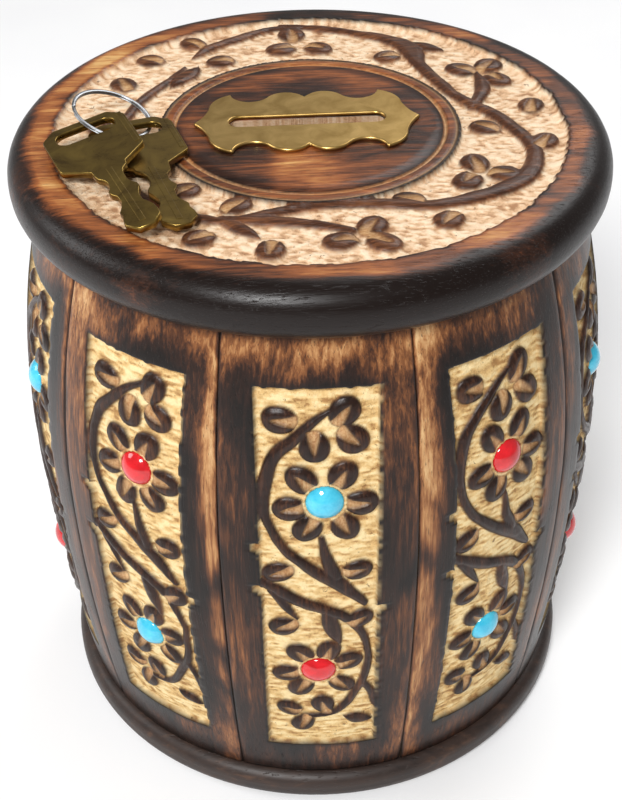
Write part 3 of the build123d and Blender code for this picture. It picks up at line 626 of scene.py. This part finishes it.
def build_beads(name, upper_on_even, material):
    """Ten domed beads of one colour, in turn in the upper and the lower flower."""
    verts, faces = [], []
    sides, rings = 48, 14
    dome = (BEAD_R**2 + BEAD_DOME_RISE**2) / (2 * BEAD_DOME_RISE)
    profile = [(BEAD_R - 0.15, -2.2), (BEAD_R, -2.0), (BEAD_R, -1.15)]
    for k in range(rings):
        s = math.asin(BEAD_R / dome) * (1 - (k + 0.3) / rings)
        profile.append((dome * math.sin(s), BEAD_CROWN - dome * (1 - math.cos(s))))
    for k in range(STAVE_COUNT):
        shift, z = UPPER_BEAD if (k % 2 == 0) == upper_on_even else LOWER_BEAD
        radius, tilt = (float(v) for v in barrel(np.array(z)))
        a = math.radians(FRONT_AZIMUTH + 360 / STAVE_COUNT * k) + shift / radius
        normal = Vector((math.cos(a) * math.cos(tilt), math.sin(a) * math.cos(tilt), math.sin(tilt)))
        across = Vector((-math.sin(a), math.cos(a), 0))
        up = normal.cross(across)
        centre = Vector((radius * math.cos(a), radius * math.sin(a), z))
        start = len(verts)
        for r, h in profile:
            for s in range(sides):
                t = 2 * math.pi * s / sides
                verts.append(centre + across * (r * math.cos(t)) + up * (r * math.sin(t)) + normal * h)
        for i in range(len(profile) - 1):
            for s in range(sides):
                n = (s + 1) % sides
                low, high = start + i * sides, start + (i + 1) * sides
                faces.append([low + s, low + n, high + n, high + s])
        faces.append([start + s for s in range(sides)][::-1])
        top = start + (len(profile) - 1) * sides
        verts.append(centre + normal * BEAD_CROWN)
        for s in range(sides):
            faces.append([top + s, top + (s + 1) % sides, len(verts) - 1])
    obj = new_object(name + "_domes", verts, faces, [material])
    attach(obj, "root")
    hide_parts(name)


build_beads("turquoise_cabochons", True, turquoise_mat)
build_beads("red_cabochons", False, red_mat)

# ---------------------------------------------------------------- lid


def slot_reach(theta, half_l, half_w):
    """Distance from the slot's centre to its round-ended outline."""
    c = half_l - half_w
    dx, dy = np.abs(np.cos(theta)), np.maximum(np.abs(np.sin(theta)), 1e-9)
    end = c * dx + np.sqrt(np.maximum(half_w**2 - (c * dy) ** 2, 0))
    return np.where(dx / dy * half_w <= c, half_w / dy, end)


def carve_lid(x, y):
    """The lid's design, drawn in axes turned a little from the box's own."""
    turn = math.radians(3.3)
    u = x * math.cos(turn) - y * math.sin(turn)
    v = x * math.sin(turn) + y * math.cos(turn)
    u, v = u + 0.25 * noise(u, v, 4.0, 301), v + 0.25 * noise(u, v, 4.0, 302)
    c = Carving(u, v)
    for px, py, angle in ((-6.8, 39.7, 200), (2.0, 39.9, -25), (-4.3, 47.6, 100), (34.6, 27.6, 165), (41.2, 29.6, 50),
                          (42.6, 22.4, -55), (34.2, -16.0, 105), (40.0, -20.6, -10), (32.2, -23.2, -120),
                          (5.8, -45.6, 195), (14.0, -46.0, -35), (12.0, -40.2, 55)):
        c.petal(px, py, angle, 7.4, 6.2, 0.85)
    for px, py, angle in ((-27.6, 43, 150), (-37.2, 34.2, 170), (-20.7, 33.4, 190), (-42.2, 21.8, 120),
                          (18.2, 34.9, 200), (48.9, 9.5, 80), (37.8, -0.5, 160), (49.7, -7, 60), (19.7, -30.5, 170),
                          (27, -38.2, 240), (-7.6, -48.2, 262), (-21.5, -43.9, 215), (-14.9, -32, 40),
                          (-25.5, -26, 30), (-46, 2, 100), (-44.0, -14.0, 200)):
        c.petal(px, py, angle, 7.0, 5.9, 0.95, 0.42, 0.34)
    c.lens((-31.4, 20), (-25.6, 30.5), 2.4)
    c.stroke([(-7, 52.4, 0.7), (2, 51, 1.4), (11, 48, 1.5), (19, 44.2, 2.2), (23.5, 39.2, 2.8), (25.4, 31, 1.9),
              (28.4, 23, 1.6), (33.5, 13, 1.7), (40.5, 5, 1.8), (45, -3.5, 1.8), (47, -12, 1.9), (43.5, -22.5, 2.1),
              (34, -29.2, 1.9), (24, -32.6, 1.8), (12, -31.6, 1.7), (0, -32.4, 1.6), (-11, -36.4, 1.6),
              (-17, -38.4, 0.7)])
    c.stroke([(-2, 51, 0.9), (-10, 50.4, 1.2), (-18, 45, 1.6), (-24, 40, 1.5), (-27, 35.5, 0.4)])
    c.stroke([(25, 42, 0.6), (27.4, 40, 2.0), (31.2, 38.2, 0.6)])
    c.stroke([(38, 26, 0.6), (39, 19, 1.7), (37, 12, 1.5), (35.4, 8.6, 1.0)])
    c.stroke([(-17, -37, 1.2), (-8, -38.2, 1.6), (0, -39.0, 1.5), (8, -41.8, 1.0)])
    c.lens((-18.6, -36.8), (-9.4, -44.4), 1.8)
    c.stroke([(-17, -38, 1.2), (-25, -35, 1.5), (-32, -30, 1.6), (-38.6, -22, 1.6), (-41.5, -10, 1.5),
              (-40.5, 4, 1.4), (-37, 15, 1.3), (-33, 22, 1.2), (-29, 30, 0.6)])
    return c


def build_lid():
    """The lid as rings of points, from the slot out over the top, round the edge and back under to the slot."""
    cols, slot_rows = 780, 7
    theta = np.arange(cols) * 2 * math.pi / cols
    cos, sin = np.cos(theta), np.sin(theta)
    hole = slot_reach(theta, SLOT_L / 2, SLOT_W / 2)
    hole_x, hole_y = SLOT_CENTRE[0] + hole * cos, SLOT_CENTRE[1] + hole * sin
    rows = []

    def slot_row(z, cut):
        out = hole + cut
        rows.append(np.column_stack([SLOT_CENTRE[0] + out * cos, SLOT_CENTRE[1] + out * sin, np.full(cols, z)]))

    def round_row(r, z):
        rows.append(np.column_stack([r * cos, r * sin, np.full(cols, float(z))]))

    def span_row(t, r, z):
        x, y = hole_x + (r * cos - hole_x) * t, hole_y + (r * sin - hole_y) * t
        rows.append(np.column_stack([x, y, np.full(cols, z)]))

    def edge_row(deg, centre_z):
        a = math.radians(deg)
        round_row(LID_R - LID_EDGE_R + LID_EDGE_R * math.cos(a), centre_z + LID_EDGE_R * math.sin(a))

    low = LID_Z - SPIGOT_T
    for z in np.linspace(low, TOP_Z - 0.3, slot_rows):
        saw = 0.14 * noise(theta * 60, np.full(cols, z), 1.2, 5) + 0.06
        slot_row(z, np.maximum(saw, 0))
    inner_edge = GROOVE_R - GROOVE_HALF_W
    for t in np.linspace(0, 1, 9):
        span_row(t, inner_edge, TOP_Z)
    for r, z in ((GROOVE_R - 0.35, -0.4), (GROOVE_R, -GROOVE_DEPTH), (GROOVE_R + 0.35, -0.4),
                 (GROOVE_R + GROOVE_HALF_W, 0)):
        round_row(r, TOP_Z + z)
    for r in np.linspace(30.0, 32.2, 7):
        rise = -0.28 * np.exp(-((r - 31.6) / 0.28) ** 2)
        round_row(r, TOP_Z + rise)
    first = len(rows)
    for r in np.arange(CARVED_INNER_R - 0.1, CARVED_OUTER_R + 0.8, 0.38):
        round_row(r, TOP_Z)
    last = len(rows)
    for r in (56.2, 57.2, 58.2, 59.2):
        round_row(r, TOP_Z)
    for deg in np.linspace(90, 0, 9)[1:]:
        edge_row(deg, TOP_Z - LID_EDGE_R)
    for deg in np.linspace(0, -90, 8):
        edge_row(deg, LID_Z + LID_EDGE_R)
    round_row(54.0, LID_Z)
    round_row(SPIGOT_R, LID_Z)
    round_row(SPIGOT_R, low)
    for t in (0.75, 0.35):
        span_row(t, SPIGOT_R, low)

    p = np.array(rows)
    x, y = p[..., 0], p[..., 1]
    r = np.hypot(x, y)
    arc = np.arctan2(y, x)
    c = carve_lid(x, y)
    saw = noise(arc * 55, r * 0.3, 0.7, 311)
    inner = CARVED_INNER_R + 0.18 * saw
    outer = CARVED_OUTER_R + 0.32 * noise(arc * 55, r * 0.2, 1.0, 312)
    outer = outer + 0.25 * noise(arc * 55, r * 0.2, 5.0, 313)
    box = np.maximum(inner - r, r - outer)
    open_ = smooth(0.22, -0.22, box)
    top_side = np.zeros(r.shape, bool)
    top_side[first:last] = True
    open_ = open_ * top_side
    keep = smooth(0.22, -0.25, c.sd)
    ring_ticks = noise(arc * 50, r * 0.35, 0.75, 314)
    free_ticks = noise(x * 0.8 + y * 0.3, y * 1.4, 0.9, 315)
    edge_band = np.maximum(smooth(3.2, 0.6, outer - r), 0.7 * smooth(2.4, 0.4, r - inner))
    tick = ring_ticks * edge_band + free_ticks * (1 - edge_band)
    floor = -CARVED_DEPTH + 0.15 * tick + 0.14 * noise(x, y, 3.4, 316) + 0.5 * smooth(1.6, 0.0, outer - r)
    top = -0.12 - 0.5 * smooth(-1.5, 0.1, c.sd) - 0.12 * noise(x, y, 2.4, 317) ** 2
    height = (floor * (1 - keep) + top * keep - 0.7 * c.cut * keep) * open_
    p[..., 2] += np.where(top_side, np.minimum(height, 0), 0)
    obj = new_object("lid_carved", p.reshape(-1, 3), grid_faces(len(rows), cols), [lid_mat])

    z = p[..., 2]
    under = z < LID_Z + 0.01
    slot_wall = np.zeros(r.shape, bool)
    slot_wall[:slot_rows] = True
    edge_burn = smooth(58.6, 62.4, r + 1.2 * noise(arc * 60, r, 8.0, 318)) * 1.1
    edge_burn = edge_burn * np.where(under & (r < 60), 0.5, 1)
    near_ring = 0.55 * smooth(1.6, 0.0, np.abs(box)) * (r > 50) + 0.75 * smooth(1.1, 0.1, np.abs(r - 32.2))
    near_ring = near_ring * (1 - open_)
    dark_patch = 0.35 * smooth(0.15, 0.75, noise(x, y, 14.0, 319)) * (r < 28)
    dark_patch = dark_patch + 0.45 * smooth(26.0, 29.0, r) * (r < 28.6)
    on_rim = r > 54
    back = (0.5 * smooth(0.1, 0.8, noise(x, y, 17.0, 320)) + 0.25 * smooth(30, 60, y)) * on_rim
    plate_smoke = 0.5 * smooth(30.0, 21.0, np.abs(x)) * smooth(19.0, 11.0, np.abs(y)) * (r < 28)
    plate_smoke = plate_smoke * (0.6 + 0.4 * noise(x, y, 6, 321))
    burn_and_shade = edge_burn + near_ring + dark_patch + back + plate_smoke
    light_rim = (0.16 * smooth(-0.1, 0.7, noise(x, y, 20.0, 322)) + 0.14 * smooth(-20, -50, x) + 0.07) * on_rim
    tone = 0.20 * np.exp(-((x + 4) ** 2 + (y + 19) ** 2) / 70.0) + light_rim
    # Painted shade: the sunk ground is darkened at the foot of the raised motifs.
    motif_foot_shade = smooth(0.9, 0.15, np.abs(c.sd)) * (1 - keep) * open_ * (0.12 + 0.3 * noise(x, y, 1.4, 323))
    groove = smooth(0.55, 0.1, np.abs(r - GROOVE_R)) * (z > LID_Z + 5) * (r < 31)
    step = 0.55 * smooth(0.3, 0.05, np.abs(r - 31.6)) * (z > LID_Z + 5) * (r < 33)
    add_field(obj, "ground", np.clip(open_ * (1 - keep) + 0.9 * slot_wall, 0, 1))
    add_field(obj, "motif", np.clip(open_ * keep, 0, 1))
    add_field(obj, "gouge", np.clip(open_ * c.gouge * keep + 0.8 * groove + step, 0, 1))
    # The shade field is painted shade, at the foot of the motifs and on the slot's wall.
    add_field(obj, "shade", np.clip(motif_foot_shade + 0.3 * slot_wall, 0, 1))
    add_field(obj, "burn_and_shade", burn_and_shade)
    add_field(obj, "tone", tone)
    add_field(obj, "tick", tick)
    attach(obj, "root")
    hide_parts("lid")


build_lid()

# ---------------------------------------------------------------- slot plate


def arc_points(a, b, c, count):
    """Points along the arc from a through b to c, without c."""
    ax, ay, bx, by, cx, cy = *a, *b, *c
    d = 2 * (ax * (by - cy) + bx * (cy - ay) + cx * (ay - by))
    ux = ((ax**2 + ay**2) * (by - cy) + (bx**2 + by**2) * (cy - ay) + (cx**2 + cy**2) * (ay - by)) / d
    uy = ((ax**2 + ay**2) * (cx - bx) + (bx**2 + by**2) * (ax - cx) + (cx**2 + cy**2) * (bx - ax)) / d
    r = math.hypot(ax - ux, ay - uy)
    t = [math.atan2(q - uy, p - ux) for p, q in (a, b, c)]
    sweep = (t[2] - t[0]) % (2 * math.pi)
    if (t[1] - t[0]) % (2 * math.pi) > sweep:
        sweep -= 2 * math.pi
    turns = [t[0] + sweep * k / count for k in range(count)]
    return [(ux + r * math.cos(turn), uy + r * math.sin(turn)) for turn in turns]


def stadium(half_l, half_w, upright=False, count=24):
    """Outline of a slot with round ends, along x, or along y if upright."""
    c = half_l - half_w
    points = []
    for centre, start in ((c, -math.pi / 2), (-c, math.pi / 2)):
        turns = np.linspace(start, start + math.pi, count)
        points += [(centre + half_w * math.cos(t), half_w * math.sin(t)) for t in turns]
    return [(-y, x) for x, y in points] if upright else points


quarter = []
for arc in (((0, 10.7), (4.0, 13.1), (8.2, 11.1)), ((8.2, 11.1), (12.2, 9.1), (16.2, 12.8)),
            ((16.2, 12.8), (19.6, 10.6), (21.2, 6.4)), ((21.2, 6.4), (22.4, 3.0), (24.4, 0))):
    quarter += arc_points(*arc, 14)
quarter.append((24.4, 0.0))
right_half = quarter + [(x, -y) for x, y in quarter[-2::-1]]
plate_outline = right_half + [(-x, y) for x, y in right_half[-2:0:-1]]
plate = flat_piece("slot_plate_brass", plate_outline[::-1], [stadium(SLOT_L / 2, SLOT_W / 2)], PLATE_T, PLATE_BEVEL,
                   Matrix.Translation((*SLOT_CENTRE, TOP_Z)), brass_mat)
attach(plate, "root")
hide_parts("slot_plate")

# ---------------------------------------------------------------- keys and ring


def key_matrix(place, turn, pitch, roll):
    """The key's own axes in the box: place is the end of its bow on the upper face, and angles are in degrees."""
    x, y, height = place
    t, p, r = math.radians(turn), math.radians(pitch), math.radians(roll)
    along = Vector((math.cos(t) * math.cos(p), math.sin(t) * math.cos(p), -math.sin(p)))
    across = Vector((-math.sin(t), math.cos(t), 0))
    up = along.cross(across)
    normal = up * math.cos(r) - across * math.sin(r)
    side = normal.cross(along)
    m = Matrix((along, side, normal)).transposed().to_4x4()
    m.translation = Vector((x, y, TOP_Z + height)) - normal * KEY_T
    return m


def key_outline(left_edge, right_edge):
    """Half a bow on each side, then a blade with cut edges given as (along, half width)."""
    bow = [(0, 0), (0, 5.7), (0.15, 6.2), (0.5, 6.6), (2.3, 8.6), (2.75, 8.95), (3.3, 9.1), (14.9, 9.1),
           (15.4, 8.98), (15.8, 8.6), (19.3, 3.7)]
    tip = [(40.3, 3.6), (42.5, 1.5)]
    left = bow + left_edge + tip
    right = [(x, -y) for x, y in bow[1:] + right_edge + tip]
    return (left + right[::-1])[::-1]


CUTS_A = [(20.6, 3.5), (21.6, 2.4), (23.0, 1.9), (25.4, 1.8), (26.8, 2.3), (28.2, 3.1), (29.4, 3.2), (30.6, 2.6),
          (32.2, 2.1), (34.0, 2.2), (35.4, 2.9), (36.8, 3.5), (38.4, 3.7)]
CUTS_B = [(20.8, 3.6), (22.4, 3.3), (23.6, 2.3), (25.2, 2.0), (26.6, 2.2), (27.8, 2.9), (29.0, 2.7), (30.2, 1.9),
          (32.4, 1.7), (34.2, 2.4), (35.6, 3.2), (37.0, 3.0), (38.6, 3.5)]
BOW_STEP, BLADE_RIB = ((1.9, 7.5), (14.6, 8.6)), ((20.0, -0.8), (40.6, 0.5))
KEYS = (("key_1", (-48.6, -3.35, 4.55), -69.1, 2.3, 10.0, CUTS_A, CUTS_B),
        ("key_2", (-39.0, -0.5, 2.8), -73.1, 1.6, 0.0, CUTS_B, CUTS_A))
for name, place, turn, pitch, roll, left_edge, right_edge in KEYS:
    hole = [(x + KEY_HOLE_AT, y) for x, y in stadium(6.5, 2.4, True)]
    key = flat_piece(name + "_cut", key_outline(left_edge, right_edge), [hole], KEY_T, KEY_BEVEL,
                     key_matrix(place, turn, pitch, roll), key_mat, [BOW_STEP, BLADE_RIB])
    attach(key, name)
    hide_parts(name)


def build_ring():
    """A split ring: two flat turns of wire, joined by a step."""
    x, y, height = RING_PLACE
    half_w, half_t, half_gap, turns = 0.41, 0.2, 0.225, 1.97
    normal = Vector(RING_NORMAL).normalized()
    a = Vector((1, 0, 0))
    a = (a - normal * a.dot(normal)).normalized()
    b = normal.cross(a)
    centre = Vector((x, y, TOP_Z + height))
    steps, start = 240, math.radians(200)
    verts, faces = [], []
    section = [(math.cos(t), math.sin(t)) for t in np.linspace(0, 2 * math.pi, 13)[:-1]]
    for k in range(steps + 1):
        turn = k / steps
        angle = start + turn * turns * 2 * math.pi
        lift = half_gap * (2 * float(smooth(0.42, 0.58, np.array(turn))) - 1)
        out = a * math.cos(angle) + b * math.sin(angle)
        thin = 0.25 if k in (0, steps) else 1.0
        for u, v in section:
            su = math.copysign(abs(u) ** 0.75, u) * half_w * thin
            sv = math.copysign(abs(v) ** 0.75, v) * half_t * thin
            verts.append(centre + out * (RING_R + su) + normal * (lift + sv))
    n = len(section)
    for k in range(steps):
        for s in range(n):
            m = (s + 1) % n
            faces.append([k * n + s, k * n + m, (k + 1) * n + m, (k + 1) * n + s])
    faces.append(list(range(n))[::-1])
    faces.append([steps * n + s for s in range(n)])
    obj = new_object("key_ring_split", verts, faces, [steel_mat])
    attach(obj, "key_ring")
    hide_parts("key_ring")


build_ring()

# ---------------------------------------------------------------- CAD nodes that show as they are

for node_names, material, slot in (
    (("base_ring",), base_mat, "base_wood"),
    (("floor_board", "access_door"), board_mat, "board_wood"),
    (("hinge_leaf_fixed", "hinge_leaf_door", "lock_plug", "lock_wafers"), brass_mat, "aged_brass"),
    (("base_screws", "hinge_pin", "hinge_screws_fixed", "hinge_screws_door", "lock_housing", "lock_washer",
      "lock_nut", "lock_cam", "cam_screw"), steel_mat, "steel"),
):
    for node_name in node_names:
        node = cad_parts[node_name]
        node.data.materials.clear()
        node.data.materials.append(material)

# ---------------------------------------------------------------- floor and light

g = Graph("pale_floor")
soft = g.noise((0.02, 0.02, 0.02), 3.0, 0.5)
g.set(Base_Color=g.ramp(soft, [(0.3, (0.93, 0.93, 0.94)), (0.7, (0.96, 0.96, 0.96))]), Roughness=0.6,
      Emission_Color=(1.0, 1.0, 1.0), Emission_Strength=0.07)
FLOOR_HALF = 3000
floor_corners = [(x * FLOOR_HALF, y * FLOOR_HALF, 0) for x, y in ((-1, -1), (1, -1), (1, 1), (-1, 1))]
floor_obj = new_object("floor", floor_corners, [[0, 1, 2, 3]], [g.mat])

world = bpy.data.worlds.new("studio")
bpy.context.scene.world = world
world.use_nodes = True
background = world.node_tree.nodes["Background"]
background.inputs["Color"].default_value = (1.0, 1.0, 1.0, 1.0)
background.inputs["Strength"].default_value = 0.27


def area_light(name, place, aim, size, power):
    data = bpy.data.lights.new(name, "AREA")
    data.shape = "DISK"
    data.size = size
    data.energy = power
    obj = bpy.data.objects.new(name, data)
    bpy.context.scene.collection.objects.link(obj)
    turned = (Vector(aim) - Vector(place)).to_track_quat("-Z", "Y").to_matrix().to_4x4()
    obj.matrix_world = Matrix.Translation(place) @ turned


area_light("key_light", (-0.28, -0.75, 0.85), (0, 0, 0.08), 0.30, 10.5)
area_light("back_light", (0.35, 0.55, 0.8), (0, 0, 0.1), 0.6, 3.4)
area_light("side_light", (-0.75, 0.1, 0.5), (0, 0, 0.1), 0.4, 2.0)

bpy.context.scene.view_settings.view_transform = "Standard"
